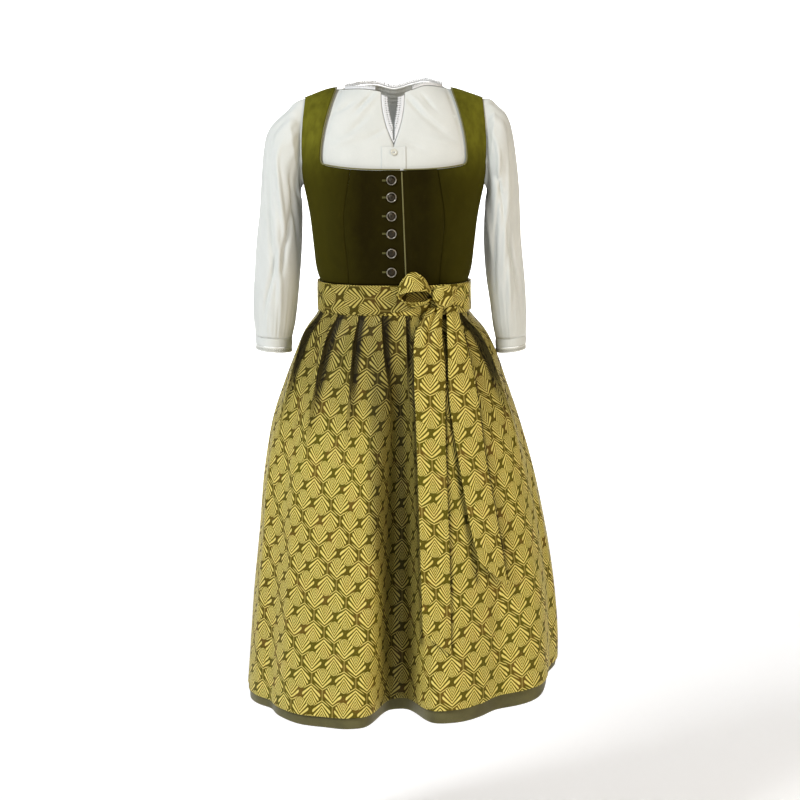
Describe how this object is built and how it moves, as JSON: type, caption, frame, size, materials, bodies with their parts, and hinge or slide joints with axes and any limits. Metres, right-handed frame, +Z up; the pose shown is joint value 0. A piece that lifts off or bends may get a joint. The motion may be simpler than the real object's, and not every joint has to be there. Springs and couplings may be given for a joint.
{
  "type": "dirndl dress",
  "caption": "Dirndl worn with a full hollow form: velvet bodice with straps, gathered skirt, pleated jacquard apron tied in a side bow, and a white blouse with three-quarter sleeves.",
  "frame": {"origin": "midway between the shoulders, at the height of the strap tops, where the wearer holds the garment up", "axes": "+Z up, the wearer faces -Y, +X to the wearer's left"},
  "size_m": [0.5618, 0.4431, 1.1134],
  "materials": {
    "green_velvet": "dark olive cotton velvet, soft sheen at grazing angles",
    "skirt_cloth": "dark olive matt woven skirt cloth",
    "jacquard": "olive gold satin jacquard with pale leaf fans",
    "satin_piping": "grey green satin piping",
    "button_metal": "antique pewter, dark in the hollows",
    "white_linen": "white matt cotton batiste",
    "white_lace": "white cotton bobbin lace",
    "pearl": "white pearl button, soft gloss"
  },
  "bodies": {
    "root": {"apron_panel": "jacquard", "apron_waistband": "jacquard", "blouse_back": "white_linen", "blouse_button": "pearl", "blouse_cuff_left": "white_linen", "blouse_cuff_right": "white_linen", "blouse_front_left": "white_linen", "blouse_front_right": "white_linen", "blouse_placket": "white_linen", "blouse_sleeve_left": "white_linen", "blouse_sleeve_right": "white_linen", "bodice_back": "green_velvet", "bodice_front_left": "green_velvet", "bodice_front_right": "green_velvet", "bodice_side_back_left": "green_velvet", "bodice_side_back_right": "green_velvet", "bodice_side_front_left": "green_velvet", "bodice_side_front_right": "green_velvet", "bow_knot": "jacquard", "bow_loop": "jacquard", "button_1": "button_metal", "button_2": "button_metal", "button_3": "button_metal", "button_4": "button_metal", "button_5": "button_metal", "button_6": "button_metal", "cuff_lace_left": "white_lace", "cuff_lace_right": "white_lace", "neck_lace_back": "white_lace", "neck_lace_left": "white_lace", "neck_lace_right": "white_lace", "piping_front_edge": "satin_piping", "piping_neck_left": "satin_piping", "piping_neck_right": "satin_piping", "skirt_back": "skirt_cloth", "skirt_front": "skirt_cloth", "slit_lace_left": "white_lace", "slit_lace_right": "white_lace", "tail_long": "jacquard", "tail_short": "jacquard", "tie_left": "jacquard", "tie_right": "jacquard"}
  },
  "joints": []
}
